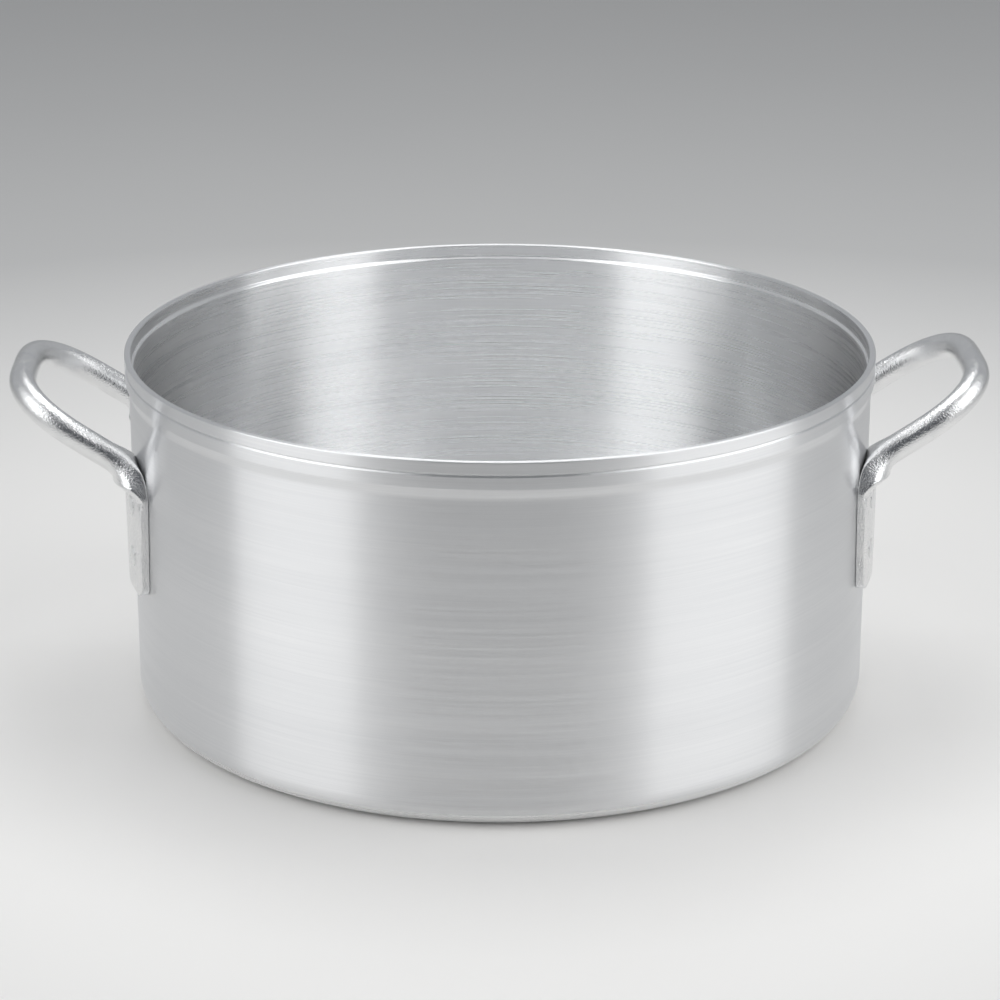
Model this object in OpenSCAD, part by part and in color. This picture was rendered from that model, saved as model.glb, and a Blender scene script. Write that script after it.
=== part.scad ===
// Low two-handled stock pot in heavy aluminium, open at the top.
// Millimetres. The origin is the centre of the underside, +Z is up, and the
// handles stand out along +X (right) and -X (left). Front is -Y.

/* [Body] */
// Outside diameter over the thickened rim band
rim_d = 360; // [320:5:420]
// Overall height of the pot
pot_h = 175; // [150:5:240]
// Thickness of the side wall
wall_t = 2.5; // [2:0.1:4]
// Thickness of the bottom
base_t = 4.5; // [3:0.5:7]
// Outer radius of the rounded bottom corner
corner_r = 12; // [8:1:20]

/* [Rim] */
// How far the rim band stands out past the side wall
rim_step = 1.7; // [1:0.1:3]
// Thickness of the lip at the very top
lip_t = 3.0; // [2.5:0.1:3.5]
// Depth below the top of the rolled groove and of the ledge inside
groove_z = 6.2; // [4:0.2:8]
// Depth below the top of the band's lower edge
band_h = 12.6; // [11:0.2:16]
// Height of the slope that runs the band out into the wall
band_fade = 4.8; // [2:0.2:8]

/* [Handles] */
// Diameter of the handle rod
rod_d = 12.7; // [10:0.1:14]
// Distance from the pot's axis to the middle of the grip
grip_x = 228; // [222:1:240]
// Depth of the grip's centre line below the rim
grip_drop = 11.5; // [8:0.5:16]
// Slope of the handle's legs down towards the wall, in degrees
leg_slope = 33; // [30:1:36]
// Distance between the centre lines of a handle's two legs
leg_span = 100; // [90:1:110]
// Centre line radius of the two corners of the grip
grip_r = 32; // [24:1:36]
// Centre line radius of the bend where a leg turns down the wall
foot_r = 15; // [13:1:18]

/* [Pads] */
// Thickness of the flattened end of a leg
pad_t = 4.6; // [4:0.1:5.4]
// Width of the flattened end at its foot
pad_w = 27; // [25:0.5:29]
// Width of the flattened end at its top, below the rod
pad_top_w = 33; // [30:0.5:34]
// Radius of the pad's lower corners
pad_corner_r = 5; // [3:0.5:9]
// Depth of the pad's lower edge below the rim
pad_low = 106.5; // [102:0.5:112]

/* [Rivets] */
// Diameter of the rivet shank
rivet_d = 6.4; // [5:0.1:7]
// Depth of the upper rivets below the rim
rivet_top_z = 64; // [63:0.5:66]
// Distance between the upper and the lower rivet of a pad
rivet_pitch = 25.4; // [22:0.2:28]
// Diameter of the round head inside the pot
head_d = 14; // [12:0.5:18]
// Height of the round head inside the pot
head_h = 2.4; // [1.5:0.1:3]
// Diameter of the countersunk end in the pad
sink_d = 10; // [9:0.2:12]
// How far the countersunk end stands proud of the pad
sink_proud = 0.5; // [0.2:0.1:0.8]

/* [Hidden] */
$fn = 64;
fine = 720;            // facets of the pot's large circles

eps = 0.01;            // overlap that joins neighbouring pieces of one solid
reach = 20;            // how far a cutting tool runs past what it cuts

rim_r = rim_d / 2;
wall_r = rim_r - rim_step;            // outside of the side wall
bore_r = wall_r - wall_t;             // inside of the side wall
lip_r = rim_r - lip_t;                // inside of the lip
ledge_h = lip_r - bore_r;             // 45 degree ledge below the lip
inner_corner_r = corner_r - wall_t;   // inside of the bottom corner
edge_c = 0.5;                         // small chamfer on the lip's two edges
groove_d = 0.7;                       // depth of the rolled groove
groove_w = 1.5;                       // width of the rolled groove

rod_r = rod_d / 2;
leg_y = leg_span / 2;
grip_z = pot_h - grip_drop;
foot_turn = 90 - leg_slope;           // turn of the foot bend, from slope to upright
foot_press = 0.5;                     // depth that the upright rod is pressed flat by
upright_x = sqrt(pow(wall_r + rod_r - foot_press, 2) - pow(leg_y, 2));
bend_x = foot_r * (1 - cos(foot_turn));
leg_len = round(10 * (grip_x - upright_x - bend_x) / cos(leg_slope)) / 10;
// Centre of the upright end of the foot bend
foot_x = grip_x - leg_len * cos(leg_slope) - bend_x;
foot_z = grip_z - leg_len * sin(leg_slope) - foot_r * sin(foot_turn);

pad_r = wall_r + pad_t;               // outside of the pads
pad_angle = asin(leg_y / (wall_r + pad_t / 2));
pad_z = pot_h - pad_low;
pad_top_z = foot_z - 8;               // full width and flat from here down
flare_top_z = foot_z + 4;             // rod width from here up
flare_proud = 2;                      // how far the flare may stand past the pad
thin_top_z = foot_z + 6;              // the outside of the rod is thinned up to here
thin_slope = 0.9;                     // run out of the thinned face per unit of rise
shy = 0.4;                            // how much slimmer the stub in the foot is

sink_h = (sink_d - rivet_d) / 2;      // 90 degree countersink
head_ball_r = (pow(head_d / 2, 2) + pow(head_h, 2)) / (2 * head_h);

// Outline of the pot's section without its inside, from the axis outwards
module outer_section() {
    translate([0, corner_r]) square([wall_r, pot_h - corner_r]);
    square([wall_r - corner_r, corner_r + eps]);
    translate([wall_r - corner_r, corner_r]) circle(r = corner_r);
    polygon([
        [wall_r - eps, pot_h - band_h - band_fade],
        [rim_r, pot_h - band_h],
        [rim_r, pot_h - edge_c],
        [rim_r - edge_c, pot_h],
        [wall_r - eps, pot_h]
    ]);
}

// Section of the space inside the pot
module inner_section() {
    inside_z = base_t + inner_corner_r;
    translate([0, inside_z]) square([bore_r, pot_h - inside_z + reach]);
    translate([0, base_t]) square([bore_r - inner_corner_r, inner_corner_r + eps]);
    translate([bore_r - inner_corner_r, inside_z]) circle(r = inner_corner_r);
    polygon([
        [bore_r - eps, pot_h - groove_z - ledge_h],
        [lip_r, pot_h - groove_z],
        [lip_r, pot_h - edge_c],
        [lip_r + edge_c + reach, pot_h + reach],
        [bore_r - eps, pot_h + reach]
    ]);
}

// V of the groove rolled round the band
module groove_section() {
    polygon([
        [rim_r + eps, pot_h - groove_z + groove_w / 2],
        [rim_r - groove_d, pot_h - groove_z],
        [rim_r + eps, pot_h - groove_z - groove_w / 2]
    ]);
}

// Puts its children on each rivet axis of a side: their +Z runs outwards,
// and their origin is on the pot's axis. side is 1 for +X, -1 for -X; end is
// -1 for the front leg, 1 for the back leg; low is 0 for the upper rivet.
module on_rivet(side, end, low) {
    mirror([side < 0 ? 1 : 0, 0, 0])
        rotate([0, 0, end * pad_angle])
            translate([0, 0, pot_h - rivet_top_z - low * rivet_pitch])
                rotate([0, 90, 0])
                    children();
}

module pot_body() {
    color("gainsboro")
    difference() {
        rotate_extrude(convexity = 4, $fn = fine / 2)
            difference() {
                outer_section();
                inner_section();
                groove_section();
            }
        for (side = [-1, 1], end = [-1, 1], low = [0, 1])
            on_rivet(side, end, low)
                translate([0, 0, bore_r - reach])
                    cylinder(d = rivet_d, h = reach + wall_t + reach);
    }
}

// Outline of a pad and the flare above it as seen from outside, y across and z up
module pad_outline() {
    low_r = pad_corner_r;
    translate([-pad_w / 2 + low_r, pad_z]) square([pad_w - 2 * low_r, low_r + eps]);
    for (y = [-1, 1])
        translate([y * (pad_w / 2 - low_r), pad_z + low_r]) circle(r = low_r);
    polygon([
        [-pad_w / 2, pad_z + low_r],
        [pad_w / 2, pad_z + low_r],
        [pad_top_w / 2, pad_top_z],
        [rod_r - shy, flare_top_z],
        [shy - rod_r, flare_top_z],
        [-pad_top_w / 2, pad_top_z]
    ]);
}

// Foot of the leg at y = end * leg_y before it is trimmed: the rod's upright
// stub and the pad it spreads into
module foot(end) {
    stub_z = pad_top_z - 2;
    translate([foot_x, end * leg_y, stub_z])
        cylinder(r = rod_r - shy, h = flare_top_z - stub_z);
    rotate([0, 0, end * pad_angle])
        rotate([90, 0, 90])
            linear_extrude(pad_r + flare_proud)
                pad_outline();
}

// Ring that thins the feet: a cylinder over the pads, opening out upwards
module thinning_ring() {
    out_r = pad_r + 4 * rod_d;
    rotate_extrude(convexity = 2, $fn = fine)
        polygon([
            [pad_r, 0],
            [pad_r, pad_top_z],
            [pad_r + thin_slope * (thin_top_z - pad_top_z), thin_top_z],
            [out_r, thin_top_z],
            [out_r, 0]
        ]);
}

// Loop of round rod and its two foot bends. It lies in its own
// sloping plane: origin at the middle of the grip, -X down the slope to the wall.
module loop() {
    straight = leg_y - grip_r;
    translate([0, straight, 0])
        rotate([90, 0, 0]) cylinder(r = rod_r, h = 2 * straight);
    for (end = [-1, 1])
        mirror([0, end < 0 ? 1 : 0, 0]) {
            translate([-grip_r, straight, 0])
                rotate_extrude(angle = 90, convexity = 2)
                    translate([grip_r, 0]) circle(r = rod_r);
            translate([-grip_r, leg_y, 0])
                rotate([0, -90, 0]) cylinder(r = rod_r, h = leg_len - grip_r);
            translate([-leg_len, leg_y, -foot_r])
                rotate([90, 0, 0])
                    rotate([0, 0, 90])
                        rotate_extrude(angle = foot_turn, convexity = 2)
                            translate([foot_r, 0]) circle(r = rod_r);
        }
}

// Whole handle at +X
module handle() {
    difference() {
        union() {
            translate([grip_x, 0, grip_z]) rotate([0, -leg_slope, 0]) loop();
            for (end = [-1, 1]) foot(end);
        }
        cylinder(r = wall_r, h = pot_h, $fn = fine);
        thinning_ring();
        for (end = [-1, 1], low = [0, 1])
            on_rivet(1, end, low) {
                cylinder(d = rivet_d, h = pad_r + reach);
                translate([0, 0, pad_r - sink_h])
                    cylinder(d1 = rivet_d, d2 = rivet_d + 2 * (sink_h + reach), h = sink_h + reach);
            }
    }
}

module handle_right() {
    color("silver") handle();
}

module handle_left() {
    color("silver") mirror([1, 0, 0]) handle();
}

// Rivet: round head inside the pot, shank, and countersunk end in the pad.
// The head's back is hollowed to fit the pot's inside.
module rivet(side, end, low) {
    color("lightgrey") {
        intersection() {
            on_rivet(side, end, low)
                translate([0, 0, bore_r - head_h])
                    intersection() {
                        translate([0, 0, head_ball_r]) sphere(r = head_ball_r);
                        cylinder(d = head_d, h = head_h);
                    }
            cylinder(r = bore_r, h = pot_h, $fn = fine);
        }
        on_rivet(side, end, low) {
            translate([0, 0, bore_r - head_h / 2])
                cylinder(d = rivet_d, h = pad_r - sink_h / 2 - bore_r + head_h / 2);
            translate([0, 0, pad_r - sink_h])
                cylinder(d1 = rivet_d, d2 = sink_d, h = sink_h);
            translate([0, 0, pad_r])
                cylinder(d1 = sink_d, d2 = sink_d - 2 * sink_proud, h = sink_proud);
        }
    }
}

module rivet_left_front_upper() rivet(-1, -1, 0);
module rivet_left_front_lower() rivet(-1, -1, 1);
module rivet_left_back_upper() rivet(-1, 1, 0);
module rivet_left_back_lower() rivet(-1, 1, 1);
module rivet_right_front_upper() rivet(1, -1, 0);
module rivet_right_front_lower() rivet(1, -1, 1);
module rivet_right_back_upper() rivet(1, 1, 0);
module rivet_right_back_lower() rivet(1, 1, 1);

pot_body();
handle_left();
handle_right();
rivet_left_front_upper();
rivet_left_front_lower();
rivet_left_back_upper();
rivet_left_back_lower();
rivet_right_front_upper();
rivet_right_front_lower();
rivet_right_back_upper();
rivet_right_back_lower();
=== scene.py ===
"""Looks of a low two-handled stock pot in turned aluminium with plated rod handles."""
import math

import bmesh
import bpy
import numpy as np
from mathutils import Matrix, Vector


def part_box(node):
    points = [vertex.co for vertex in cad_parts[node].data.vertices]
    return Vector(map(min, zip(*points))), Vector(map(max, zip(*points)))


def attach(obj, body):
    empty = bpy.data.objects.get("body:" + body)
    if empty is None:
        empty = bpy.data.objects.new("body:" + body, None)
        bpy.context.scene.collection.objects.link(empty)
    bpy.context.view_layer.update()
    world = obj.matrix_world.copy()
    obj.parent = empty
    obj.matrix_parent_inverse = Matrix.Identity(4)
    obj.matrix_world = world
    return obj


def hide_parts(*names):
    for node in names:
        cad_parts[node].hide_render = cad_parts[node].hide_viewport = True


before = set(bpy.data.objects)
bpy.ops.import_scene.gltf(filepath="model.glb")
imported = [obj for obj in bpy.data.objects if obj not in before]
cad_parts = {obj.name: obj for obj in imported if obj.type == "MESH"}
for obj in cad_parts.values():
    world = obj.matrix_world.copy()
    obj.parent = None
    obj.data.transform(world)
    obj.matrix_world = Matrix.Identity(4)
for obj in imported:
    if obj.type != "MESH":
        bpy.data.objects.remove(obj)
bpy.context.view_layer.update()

MM = 0.001
_, pot_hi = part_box("pot_body")
grip_lo, grip_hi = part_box("handle_right")

# ---------------------------------------------------------------- sizes, metres
RIM_R = min(pot_hi.x, pot_hi.y)
TOP_Z = pot_hi.z
WALL_R = RIM_R - 1.7 * MM      # outside of the side wall
BORE_R = WALL_R - 2.5 * MM     # inside of the side wall
LIP_R = RIM_R - 3.0 * MM       # inside of the lip
BASE_T = 4.5 * MM              # thickness of the bottom
CORNER_R = 12 * MM             # rounded bottom corner
GROOVE_Z = TOP_Z - 6.2 * MM    # rolled groove outside, ledge inside
GROOVE_D = 0.7 * MM
BAND_Z = TOP_Z - 12.6 * MM     # lower edge of the rim band
FADE_H = 4.8 * MM              # slope from the band into the wall

ROD_R = 6.35 * MM
GRIP_X = grip_hi.x - ROD_R
PAD_T = 4.6 * MM
PAD_HALF = 13.5 * MM           # half width of a pad at its foot
PAD_TOP_HALF = 16.5 * MM       # and at its top
PAD_CORNER = 5 * MM
PAD_R = WALL_R + PAD_T
PAD_Z = grip_lo.z
PAD_TURN = math.asin(grip_hi.y / PAD_R) - math.asin(PAD_TOP_HALF / PAD_R)
LEG_Y = (WALL_R + PAD_T / 2) * math.sin(PAD_TURN)
LEG_SLOPE = math.radians(33)
BEND_R = 32 * MM               # corners of the grip
GRIP_EASE = 17 * MM            # length over which a corner's curvature builds up
FOOT_R = 15 * MM               # bend where a leg turns down the wall
PRESS = 0.5 * MM               # how far the upright rod's back is pressed flat
EDGE = 0.7 * MM                # rounding of the pad's edges
TAPER_H = 41 * MM              # height over which a pad narrows towards its foot
PRESSED_H = 22 * MM            # height below the foot bend that is modelled finely

# How the round rod becomes a flat pad: each change starts this far below the end of
# the foot bend (negative is above it) and is complete after the second distance.
FOOT_CHANGES = {
    "press": (-9 * MM, 9 * MM),          # the back is pressed flat
    "wrap": (-14 * MM, 14 * MM),         # the section bends round the wall
    "back_box": (-15 * MM, 10 * MM),     # the back gets its square edges
    "flare": (-15.5 * MM, 21 * MM),      # the width grows
    "shoulder": (-2.5 * MM, 9 * MM),     # the front drops to the pad's face
    "crisp": (-1 * MM, 8 * MM),          # the edges get their small rounding
    "front_box": (1 * MM, 11 * MM),      # the front changes from oval to flat
}

HEAD_R = 7 * MM                # rivet's round head inside the pot
HEAD_H = 2.4 * MM
SHANK_R = 3.2 * MM
SINK_R = 5 * MM                # rivet's countersunk end in the pad
SINK_PROUD = 0.5 * MM
SINK_EDGE = 0.6 * MM           # rounding of that end's edge

BODY_SEGMENTS = 384
ROD_SEGMENTS = 96
RIVET_SEGMENTS = 64

CAMERA_TURN = math.radians(-1.6)    # the photograph looks from just left of the front
CAMERA_FAR = 1.4768            # from the pot's axis, measured level
CAMERA_Z = 0.6220
CAMERA_LENS = 115.2            # millimetres, on a 36 mm sensor
LOOK_Z = 0.0937
AIM_Z = 0.1                    # height that the lights are aimed at
FLOOR_Z = -0.0003
FLOOR_SIZE = 14


# ---------------------------------------------------------------- mesh helpers
def smoothstep(x):
    x = min(1.0, max(0.0, x))
    return x * x * (3 - 2 * x)


def new_piece(name, bm, material, slot, *nodes):
    """A mesh object that rides on the part and stands for CAD nodes."""
    bmesh.ops.remove_doubles(bm, verts=bm.verts, dist=1e-6)
    bmesh.ops.recalc_face_normals(bm, faces=bm.faces)
    for face in bm.faces:
        face.smooth = True
    mesh = bpy.data.meshes.new(name)
    bm.to_mesh(mesh)
    bm.free()
    mesh.materials.append(material)
    obj = bpy.data.objects.new(name, mesh)
    bpy.context.scene.collection.objects.link(obj)
    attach(obj, "root")
    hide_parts(*nodes)


def rounded_line(corners, longest=9 * MM, support=0.25 * MM, turn_step=9):
    """Points along a polyline of (r, z, radius) corners, with its corners rounded."""
    pts = [Vector((r, z)) for r, z, _ in corners]
    bends = []
    for i in range(1, len(pts) - 1):
        a, p, b = pts[i - 1], pts[i], pts[i + 1]
        to_a = (a - p).normalized()
        to_b = (b - p).normalized()
        turn = math.pi - to_a.angle(to_b)
        radius = corners[i][2]
        cut = radius * math.tan(turn / 2)
        middle = p + (to_a + to_b).normalized() * radius / math.cos(turn / 2)
        steps = max(4, math.ceil(math.degrees(turn) / turn_step))
        start = p + to_a * cut - middle
        sign = 1 if start.cross(p + to_b * cut - middle) > 0 else -1
        arc = []
        for k in range(steps + 1):
            t = sign * turn * k / steps
            c, s = math.cos(t), math.sin(t)
            arc.append(middle + Vector((start.x * c - start.y * s, start.x * s + start.y * c)))
        bends.append(arc)
    runs = [[pts[0]]] + bends + [[pts[-1]]]
    line = []
    for one, two in zip(runs, runs[1:]):
        line += one
        a, b = one[-1], two[0]
        length = (b - a).length
        if length > 3 * support:
            inner = max(1, math.ceil((length - 2 * support) / longest))
            for k in range(inner + 1):
                t = (support + (length - 2 * support) * k / inner) / length
                line.append(a.lerp(b, t))
    line += runs[-1]
    return line


def lathe(line, segments):
    """A closed mesh of the line turned about Z; ends on the axis become single points."""
    bm = bmesh.new()
    rings = []
    for p in line:
        if p.x < 1e-7:
            rings.append([bm.verts.new((0, 0, p.y))])
            continue
        rings.append([
            bm.verts.new((p.x * math.cos(a), p.x * math.sin(a), p.y))
            for a in np.arange(segments) * 2 * math.pi / segments
        ])
    for one, two in zip(rings, rings[1:]):
        for i in range(segments):
            j = (i + 1) % segments
            corners = [one[i % len(one)], one[j % len(one)], two[j % len(two)], two[i % len(two)]]
            bm.faces.new(list(dict.fromkeys(corners)))
    return bm


def section(back, front, half, radius):
    """Rounded box section as (w, t) rows: t runs from -back to front, w from -half to half."""
    depth = (back + front) / 2
    radius = min(radius, depth, half)
    flat_w, flat_t = half - radius, depth - radius
    steps = 48
    pts = [(half, 0.0)]
    for quarter, (sw, st) in enumerate([(1, 1), (-1, 1), (-1, -1), (1, -1)]):
        for k in range(steps + 1):
            a = (quarter + k / steps) * math.pi / 2
            pts.append((sw * flat_w + radius * math.cos(a), st * flat_t + radius * math.sin(a)))
    pts.append((half, 0.0))
    pts = np.array(pts)
    edge = np.diff(pts, axis=0)
    length = np.hypot(edge[:, 0], edge[:, 1])
    turn = np.zeros(len(edge))
    for quarter in range(4):
        first = 1 + quarter * (steps + 1)
        turn[first:first + steps] = 1 / steps
    by_length = 0.55                    # the rest of the points are spread by turn
    share = by_length * length / length.sum() + (1 - by_length) * turn / turn.sum()
    along = np.concatenate([[0], np.cumsum(share)])
    along /= along[-1]
    wanted = np.arange(ROD_SEGMENTS) / ROD_SEGMENTS
    w = np.interp(wanted, along, pts[:, 0])
    t = np.interp(wanted, along, pts[:, 1]) + (front - back) / 2
    return w, t


# ---------------------------------------------------------------- materials
def material(name, metallic, roughness, anisotropic=0.0, turn=0.0):
    """A node material and its shader; returns (material, nodes, links, shader)."""
    mat = bpy.data.materials.new(name)
    mat.use_nodes = True
    nodes, links = mat.node_tree.nodes, mat.node_tree.links
    shader = nodes["Principled BSDF"]
    shader.inputs["Metallic"].default_value = metallic
    shader.inputs["Roughness"].default_value = roughness
    shader.inputs["Anisotropic"].default_value = anisotropic
    shader.inputs["Anisotropic Rotation"].default_value = turn
    return mat, nodes, links, shader


def math_node(nodes, links, operation, a, b=None):
    node = nodes.new("ShaderNodeMath")
    node.operation = operation
    for socket, value in zip(node.inputs, (a, b)):
        if value is None:
            continue
        if isinstance(value, (int, float)):
            socket.default_value = value
        else:
            links.new(value, socket)
    return node.outputs[0]


def noise_node(nodes, links, vector, scale, detail, rough=0.55):
    node = nodes.new("ShaderNodeTexNoise")
    links.new(vector, node.inputs["Vector"])
    node.inputs["Scale"].default_value = scale
    node.inputs["Detail"].default_value = detail
    node.inputs["Roughness"].default_value = rough
    return node.outputs["Fac"]


def range_node(nodes, links, value, lo, hi, to_lo, to_hi):
    node = nodes.new("ShaderNodeMapRange")
    links.new(value, node.inputs["Value"])
    for name, number in zip(("From Min", "From Max", "To Min", "To Max"), (lo, hi, to_lo, to_hi)):
        node.inputs[name].default_value = number
    return node.outputs["Result"]


def mix_colour(nodes, links, factor, a, b):
    node = nodes.new("ShaderNodeMix")
    node.data_type = "RGBA"
    links.new(factor, node.inputs["Factor"])
    node.inputs["A"].default_value = (*a, 1)
    node.inputs["B"].default_value = (*b, 1)
    return node.outputs["Result"]


def bump_node(nodes, links, height, strength, distance):
    node = nodes.new("ShaderNodeBump")
    node.inputs["Strength"].default_value = strength
    node.inputs["Distance"].default_value = distance
    links.new(height, node.inputs["Height"])
    return node.outputs["Normal"]


def axis_distance(nodes, links, x, y):
    """Distance from the pot's axis, in metres."""
    return math_node(nodes, links, "SQRT", math_node(
        nodes, links, "ADD",
        math_node(nodes, links, "MULTIPLY", x, x),
        math_node(nodes, links, "MULTIPLY", y, y)))


def turned_aluminium():
    """Bright aluminium turned on a lathe: fine grooves run round the pot."""
    rough = 0.35
    mat, nodes, links, shader = material("turned_aluminium", 1.0, rough, anisotropic=1.0, turn=0.25)
    coords = nodes.new("ShaderNodeTexCoord")
    parts = nodes.new("ShaderNodeSeparateXYZ")
    links.new(coords.outputs["Object"], parts.inputs[0])
    x, y, z = parts.outputs
    radius = axis_distance(nodes, links, x, y)
    along = math_node(nodes, links, "ADD", radius, z)
    inside = math_node(nodes, links, "MULTIPLY",
                       math_node(nodes, links, "LESS_THAN", radius, (BORE_R + WALL_R) / 2),
                       math_node(nodes, links, "GREATER_THAN", z, BASE_T / 2))

    def grooves(round_scale, across_scale, detail):
        """Noise stretched round the pot: scales are per metre round it and across the grooves."""
        vector = nodes.new("ShaderNodeCombineXYZ")
        links.new(math_node(nodes, links, "MULTIPLY", x, round_scale), vector.inputs[0])
        links.new(math_node(nodes, links, "MULTIPLY", y, round_scale), vector.inputs[1])
        links.new(math_node(nodes, links, "MULTIPLY", along, across_scale), vector.inputs[2])
        return noise_node(nodes, links, vector.outputs[0], 1.0, detail)

    fine = grooves(12, 1700, 2)
    coarse = grooves(8, 800, 2)
    broad = grooves(3, 60, 1)
    lines = math_node(nodes, links, "ADD",
                      math_node(nodes, links, "MULTIPLY", fine, 0.6),
                      math_node(nodes, links, "MULTIPLY", coarse, 0.4))
    tone = math_node(nodes, links, "ADD",
                     math_node(nodes, links, "MULTIPLY", lines, 0.7),
                     math_node(nodes, links, "MULTIPLY", broad, 0.3))
    outer_tone = range_node(nodes, links, tone, 0.32, 0.68, 0.2, 0.75)
    # painted light: the inside of the pot gets a lighter base colour, standing in for the light
    # bounced round inside it
    painted_inside_light = math_node(nodes, links, "MULTIPLY", inside, 0.4)
    shade = math_node(nodes, links, "ADD", outer_tone, painted_inside_light)
    links.new(mix_colour(nodes, links, shade, (0.80, 0.808, 0.82), (0.95, 0.953, 0.955)),
              shader.inputs["Base Color"])
    swing = range_node(nodes, links, coarse, 0.3, 0.7, -0.03, 0.03)
    base_rough = math_node(nodes, links, "SUBTRACT", rough,
                           math_node(nodes, links, "MULTIPLY", inside, 0.07))
    links.new(math_node(nodes, links, "ADD", base_rough, swing), shader.inputs["Roughness"])
    links.new(bump_node(nodes, links, lines, 0.08, 0.00004), shader.inputs["Normal"])
    tangent = nodes.new("ShaderNodeTangent")
    tangent.direction_type = "RADIAL"
    tangent.axis = "Z"
    links.new(tangent.outputs[0], shader.inputs["Tangent"])
    return mat


def plated_steel():
    """Bright plated rod with the faint mottle of its rolled surface."""
    mat, nodes, links, shader = material("plated_steel", 1.0, 0.13)
    coords = nodes.new("ShaderNodeTexCoord").outputs["Object"]
    mottle = noise_node(nodes, links, coords, 1100, 2, 0.6)
    cloud = noise_node(nodes, links, coords, 90, 2)
    links.new(mix_colour(nodes, links, range_node(nodes, links, cloud, 0.3, 0.7, 0, 1),
                         (0.78, 0.785, 0.79), (0.87, 0.87, 0.868)),
              shader.inputs["Base Color"])
    links.new(range_node(nodes, links, mottle, 0.3, 0.7, 0.05, 0.13), shader.inputs["Roughness"])
    links.new(bump_node(nodes, links, mottle, 0.8, 0.00036), shader.inputs["Normal"])
    return mat


def satin_aluminium():
    """Rivet metal: softer shine, with light marks from the rivet set."""
    mat, nodes, links, shader = material("satin_aluminium", 1.0, 0.3)
    coords = nodes.new("ShaderNodeTexCoord").outputs["Object"]
    marks = noise_node(nodes, links, coords, 650, 3)
    cloud = noise_node(nodes, links, coords, 160, 2)
    links.new(mix_colour(nodes, links, range_node(nodes, links, cloud, 0.3, 0.7, 0, 1),
                         (0.76, 0.765, 0.77), (0.87, 0.87, 0.868)),
              shader.inputs["Base Color"])
    links.new(range_node(nodes, links, marks, 0.3, 0.7, 0.24, 0.4), shader.inputs["Roughness"])
    links.new(bump_node(nodes, links, marks, 0.3, 0.0001), shader.inputs["Normal"])
    return mat


def pale_floor():
    """Matt floor with a painted pool of light: lightest round the pot, greyer further out."""
    mat, nodes, links, shader = material("pale_floor", 0.0, 0.75)
    coords = nodes.new("ShaderNodeTexCoord").outputs["Object"]
    parts = nodes.new("ShaderNodeSeparateXYZ")
    links.new(coords, parts.inputs[0])
    x, y, _ = parts.outputs
    far = axis_distance(nodes, links, x, y)
    cloud = math_node(nodes, links, "MULTIPLY", noise_node(nodes, links, coords, 3, 2), 0.05)
    # painted pool of light: light colour near the pot fading to grey from 0.3 to 0.85 m out, plus a
    # faint random cloud
    shade = math_node(nodes, links, "ADD", cloud,
                      range_node(nodes, links, far, 0.3, 0.85, 0, 0.95))
    links.new(mix_colour(nodes, links, shade, (0.91, 0.90, 0.88), (0.56, 0.56, 0.555)),
              shader.inputs["Base Color"])
    return mat


# ---------------------------------------------------------------- pot body
def pot_body(mat):
    """One turned shell, from the middle of the underside round to the middle inside."""
    corners = [
        (0, 0, 0),
        (WALL_R, 0, CORNER_R),
        (WALL_R, BAND_Z - FADE_H, 6 * MM),
        (RIM_R, BAND_Z, 2.2 * MM),
        (RIM_R, GROOVE_Z - 0.8 * MM, 0.3 * MM),
        (RIM_R - GROOVE_D, GROOVE_Z, 0.35 * MM),
        (RIM_R, GROOVE_Z + 0.8 * MM, 0.3 * MM),
        (RIM_R, TOP_Z, 0.7 * MM),
        (LIP_R, TOP_Z, 0.7 * MM),
        (LIP_R, GROOVE_Z, 0.6 * MM),
        (BORE_R, GROOVE_Z - (LIP_R - BORE_R), 0.8 * MM),
        (BORE_R, BASE_T, CORNER_R - (WALL_R - BORE_R)),
        (0, BASE_T, 0),
    ]
    bm = lathe(rounded_line(corners), BODY_SEGMENTS)
    new_piece("pot_body_turned", bm, mat, "pot_aluminium", "pot_body")


# ---------------------------------------------------------------- handles
def grip_line(straight, count=400, kept=45):
    """Half the grip's line as (across, down the slope, heading) rows, its curvature eased."""
    arc = BEND_R * math.pi / 2
    s = np.linspace(0, straight + arc + GRIP_EASE, count)
    ramp = np.clip((s - straight + GRIP_EASE) / (2 * GRIP_EASE), 0, 1)
    ramp -= np.clip((s - straight - arc + GRIP_EASE) / (2 * GRIP_EASE), 0, 1)
    ease = ramp * ramp * (3 - 2 * ramp)
    heading = np.concatenate([[0], np.cumsum((ease[1:] + ease[:-1]) / 2)])
    heading *= math.pi / 2 / heading[-1]
    between = (heading[1:] + heading[:-1]) / 2
    step = s[1] - s[0]
    out = np.concatenate([[0], np.cumsum(np.cos(between) * step)])
    along = np.concatenate([[0], np.cumsum(np.sin(between) * step)])
    size = LEG_Y / out[-1]
    rows = [int(i) for i in np.linspace(0, count - 1, kept)]
    return [(float(out[i]) * size, float(along[i]) * size, float(heading[i])) for i in rows]


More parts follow.
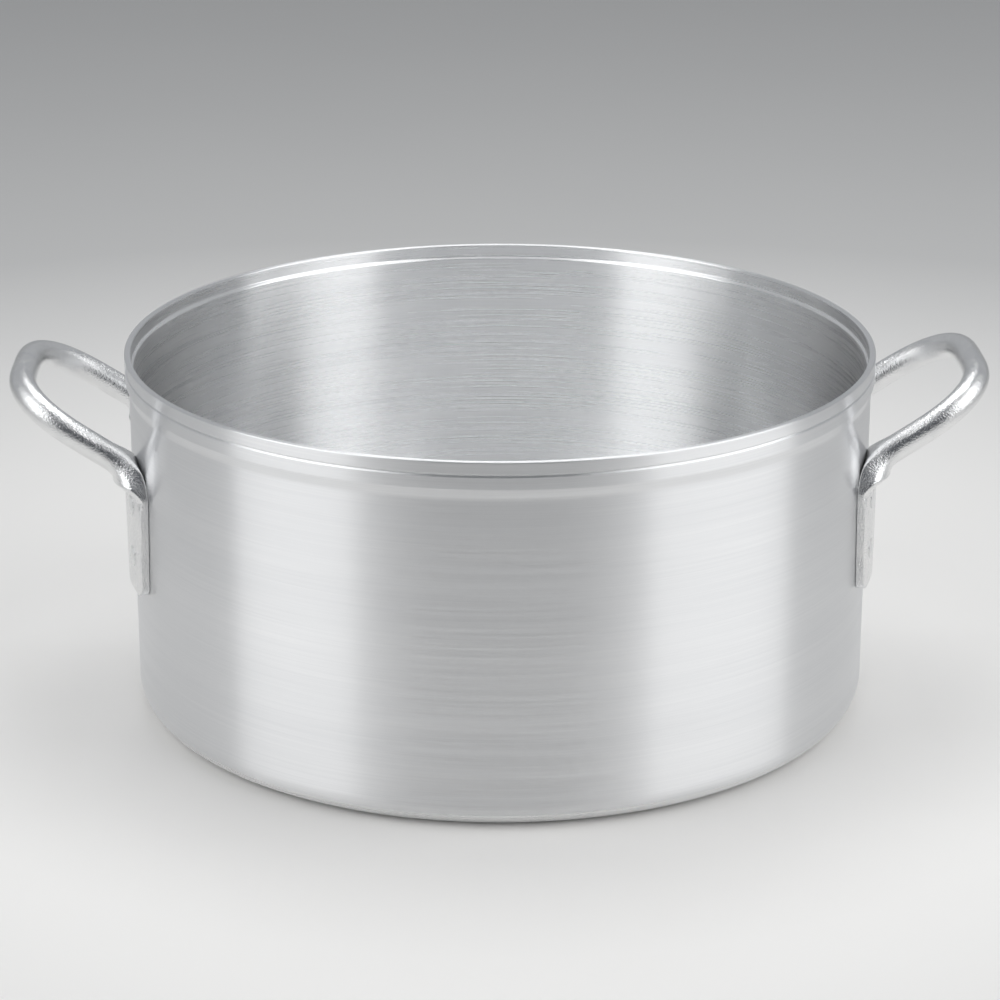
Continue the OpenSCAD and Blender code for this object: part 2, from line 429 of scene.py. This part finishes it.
def half_handle():
    """Rings of points from the middle of the grip down one leg to the end of its pad."""
    down = Vector((-math.cos(LEG_SLOPE), 0, -math.sin(LEG_SLOPE)))
    below = Vector((math.sin(LEG_SLOPE), 0, -math.cos(LEG_SLOPE)))
    across = Vector((0, 1, 0))
    grip = Vector((GRIP_X, 0, grip_hi.z - ROD_R))
    turn = math.pi / 2 - LEG_SLOPE
    upright_x = math.sqrt((WALL_R + ROD_R - PRESS) ** 2 - LEG_Y ** 2)
    leg = (GRIP_X - upright_x - FOOT_R * (1 - math.cos(turn))) / math.cos(LEG_SLOPE)
    foot_z = grip.z - leg * math.sin(LEG_SLOPE) - FOOT_R * math.sin(turn)
    straight = LEG_Y - BEND_R

    stations = []                       # (centre, width direction, depth direction)
    bend = grip_line(straight)
    for out, along, a in bend:
        centre = grip + across * out + down * along
        stations.append((centre, across * math.sin(a) - down * math.cos(a), below))
    for s in np.linspace(bend[-1][1], leg, 11)[1:-1]:
        stations.append((grip + across * LEG_Y + down * s, across, below))
    hinge = grip + across * LEG_Y + down * leg + below * FOOT_R
    for a in np.linspace(0, turn, 26):
        out = below * math.cos(a) - down * math.sin(a)
        stations.append((hinge - out * FOOT_R, across, out))
    upright = stations[-1]
    heights = list(np.linspace(foot_z, foot_z - PRESSED_H, 45)[1:])
    heights += list(np.linspace(heights[-1], PAD_Z + PAD_CORNER, 10)[1:])
    round_off = np.linspace(0, math.pi / 2, 15)[1:-1]
    heights += [PAD_Z + PAD_CORNER * (1 - math.sin(a)) for a in round_off]
    heights = [z for z in heights if z > PAD_Z + EDGE]
    heights += [PAD_Z + EDGE * (1 - math.sin(a)) for a in np.linspace(0, math.pi / 2, 7)]
    for z in heights:
        stations.append((Vector((upright[0].x, LEG_Y, z)), across, upright[2]))

    rings = []
    for centre, wide, deep in stations:
        z = centre.z
        done = {
            name: smoothstep((foot_z - z - start) / length)
            for name, (start, length) in FOOT_CHANGES.items()
        }
        low = max(0, z - PAD_Z)
        taper = min(1, max(0, low - PAD_CORNER) / TAPER_H)
        full = PAD_HALF + (PAD_TOP_HALF - PAD_HALF) * taper
        back = ROD_R - PRESS * done["press"]
        front = ROD_R + (PAD_T + PRESS - 2 * ROD_R) * done["shoulder"]
        half = ROD_R + (full - ROD_R) * done["flare"]
        radius = ROD_R + (EDGE - ROD_R) * done["crisp"]
        back_radius = ROD_R + (EDGE - ROD_R) * done["back_box"]
        if low < PAD_CORNER:            # the pad's two lower corners
            half -= PAD_CORNER - math.sqrt(PAD_CORNER ** 2 - (PAD_CORNER - low) ** 2)
        if low < EDGE:                  # the rounded lower edge
            inset = EDGE - math.sqrt(EDGE ** 2 - (EDGE - low) ** 2)
            back, front, half = back - inset, front - inset, half - inset * 0.3
            radius = max(0.2 * MM, EDGE - inset * 0.6)
            back_radius = radius
        ws, ts = section(back, front, half, radius)
        if done["front_box"] < 1:       # above the pad the rod's front spreads as an oval
            depth = (back + front) / 2
            oval_ws, oval_ts = section(back, front, depth, depth)
            oval_ws = oval_ws * (half / depth)
            flat_ws, flat_ts = section(back, front, half, back_radius)
            at_back = np.arange(len(ws)) > len(ws) // 2
            ws = np.where(at_back, oval_ws + (flat_ws - oval_ws) * done["back_box"],
                          oval_ws + (ws - oval_ws) * done["front_box"])
            ts = np.where(at_back, oval_ts + (flat_ts - oval_ts) * done["back_box"],
                          oval_ts + (ts - oval_ts) * done["front_box"])
        ring = []
        for w, t in zip(ws.tolist(), ts.tolist()):
            p = centre + wide * w + deep * t
            if done["wrap"]:
                r = WALL_R + t + ROD_R - PRESS
                a = PAD_TURN + w / (WALL_R + PAD_T / 2)
                p = p.lerp(Vector((r * math.cos(a), r * math.sin(a), p.z)), done["wrap"])
            ring.append(p)
        rings.append(ring)
    return rings


def handle(name, side, mat):
    """One bent rod from pad to pad; side is 1 for +X and -1 for -X."""
    half = half_handle()
    mirrored = [[Vector((p.x, -p.y, p.z)) for p in ring] for ring in half]
    rings = mirrored[:0:-1] + half
    bm = bmesh.new()
    made = [[bm.verts.new((side * p.x, p.y, p.z)) for p in ring] for ring in rings]
    count = len(made[0])
    for one, two in zip(made, made[1:]):
        for i in range(count):
            j = (i + 1) % count
            bm.faces.new([one[i], one[j], two[j], two[i]])
    for ring in (made[0], made[-1]):
        for i in range(count // 2):
            quad = [ring[i], ring[i + 1], ring[count - i - 1], ring[(count - i) % count]]
            bm.faces.new(list(dict.fromkeys(quad)))
    new_piece(name + "_bent", bm, mat, "handle_plating", name)


# ---------------------------------------------------------------- rivets
def rivet(node, mat):
    """Domed head inside the pot, shank, and a countersunk end just proud of the pad."""
    lo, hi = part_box(node)
    centre = (lo + hi) / 2
    side = 1 if centre.x > 0 else -1
    end = 1 if centre.y > 0 else -1
    head_face = BORE_R - HEAD_H
    ball_r = (HEAD_R ** 2 + HEAD_H ** 2) / (2 * HEAD_H)
    bottom = math.sqrt(BORE_R ** 2 - HEAD_R ** 2)      # where the head's edge meets the wall
    tilt = math.asin(HEAD_R / ball_r)
    line = []
    for k in range(15):
        a = tilt * k / 14
        line.append(Vector((ball_r * math.sin(a), head_face + ball_r * (1 - math.cos(a)))))
    rim = line.pop()
    line += [Vector((rim.x - 0.1 * MM, rim.y - 0.12 * MM)), Vector((rim.x, rim.y - 0.02 * MM)), rim]
    line += [Vector((HEAD_R, BORE_R)), Vector((SHANK_R, BORE_R + 0.1 * MM))]
    line += [Vector((SHANK_R, PAD_R - (SINK_R - SHANK_R)))]
    line += [Vector((SINK_R - 0.1 * MM, PAD_R - 0.1 * MM)), Vector((SINK_R, PAD_R))]
    for k in range(1, 13):
        a = math.pi / 2 * k / 12
        r = (SINK_R - SINK_EDGE) * (1 - k / 12) + SINK_EDGE * math.cos(a)
        line.append(Vector((r, PAD_R + SINK_PROUD * math.sin(a) ** 0.8)))
    line[0] = Vector((0, line[0].y))
    line[-1] = Vector((0, line[-1].y))
    bm = lathe(line, RIVET_SEGMENTS)
    turn = PAD_TURN * end
    for v in bm.verts:
        out, a, b = v.co.z, v.co.x, v.co.y
        on_edge = math.hypot(a, b) > HEAD_R - 0.3 * MM
        if on_edge and bottom - 0.3 * MM < out <= BORE_R + 0.05 * MM:
            # the head's edge follows the curve of the wall
            out = min(out, math.sqrt(BORE_R ** 2 - a ** 2)) + (0.1 * MM if out >= BORE_R else 0)
        x = out * math.cos(turn) - a * math.sin(turn)
        y = out * math.sin(turn) + a * math.cos(turn)
        v.co = Vector((side * x, y, centre.z + b))
    new_piece(node + "_set", bm, mat, "rivet_aluminium", node)


# ---------------------------------------------------------------- the object
pot_body(turned_aluminium())
plating = plated_steel()
for name, side in (("handle_left", -1), ("handle_right", 1)):
    handle(name, side, plating)
rivet_metal = satin_aluminium()
for name in sorted(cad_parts):
    if name.startswith("rivet_"):
        rivet(name, rivet_metal)

# ---------------------------------------------------------------- floor and light
bm = bmesh.new()
bmesh.ops.create_grid(bm, x_segments=8, y_segments=8, size=FLOOR_SIZE)
for v in bm.verts:
    v.co.z = FLOOR_Z
floor_mesh = bpy.data.meshes.new("floor")
bm.to_mesh(floor_mesh)
bm.free()
floor_mesh.materials.append(pale_floor())
floor = bpy.data.objects.new("floor", floor_mesh)
bpy.context.scene.collection.objects.link(floor)

world = bpy.data.worlds.new("studio")
bpy.context.scene.world = world
world.use_nodes = True
nodes, links = world.node_tree.nodes, world.node_tree.links
direction = nodes.new("ShaderNodeSeparateXYZ")
links.new(nodes.new("ShaderNodeTexCoord").outputs["Generated"], direction.inputs[0])
shade = range_node(nodes, links, direction.outputs["Y"], -0.9, -0.1, 0, 1)
links.new(mix_colour(nodes, links, shade, (0.10, 0.105, 0.115), (0.43, 0.44, 0.455)),
          nodes["Background"].inputs["Color"])


def softbox(name, azimuth, centre_z, distance, width, height, radiance):
    """Rectangular light aimed at the pot: azimuth 0 is towards the camera, 90 to the right."""
    light = bpy.data.lights.new(name, "AREA")
    light.shape = "RECTANGLE"
    light.size = width
    light.size_y = height
    light.energy = 4 * width * height * radiance
    obj = bpy.data.objects.new(name, light)
    a = math.radians(azimuth) + CAMERA_TURN
    obj.location = (distance * math.sin(a), -distance * math.cos(a), centre_z)
    aim = Vector((0, 0, AIM_Z)) - obj.location
    obj.rotation_euler = aim.to_track_quat("-Z", "Y").to_euler()
    obj.visible_camera = False
    bpy.context.scene.collection.objects.link(obj)


softbox("softbox_left", -62, 1.15, 1.7, 1.55, 2.2, 1.14)
softbox("softbox_right", 68, 1.15, 1.7, 1.95, 2.2, 1.14)
softbox("softbox_top", 180, 1.3, 0.4, 0.8, 0.8, 2.0)

# ---------------------------------------------------------------- camera
camera_data = bpy.data.cameras.new("camera")
camera_data.sensor_width = 36
camera_data.lens = CAMERA_LENS
camera = bpy.data.objects.new("camera", camera_data)
camera.location = (CAMERA_FAR * math.sin(CAMERA_TURN), -CAMERA_FAR * math.cos(CAMERA_TURN), CAMERA_Z)
look = Vector((0, 0, LOOK_Z)) - camera.location
camera.rotation_euler = look.to_track_quat("-Z", "Y").to_euler()
bpy.context.scene.collection.objects.link(camera)
bpy.context.scene.camera = camera
bpy.context.scene.view_settings.view_transform = "Standard"
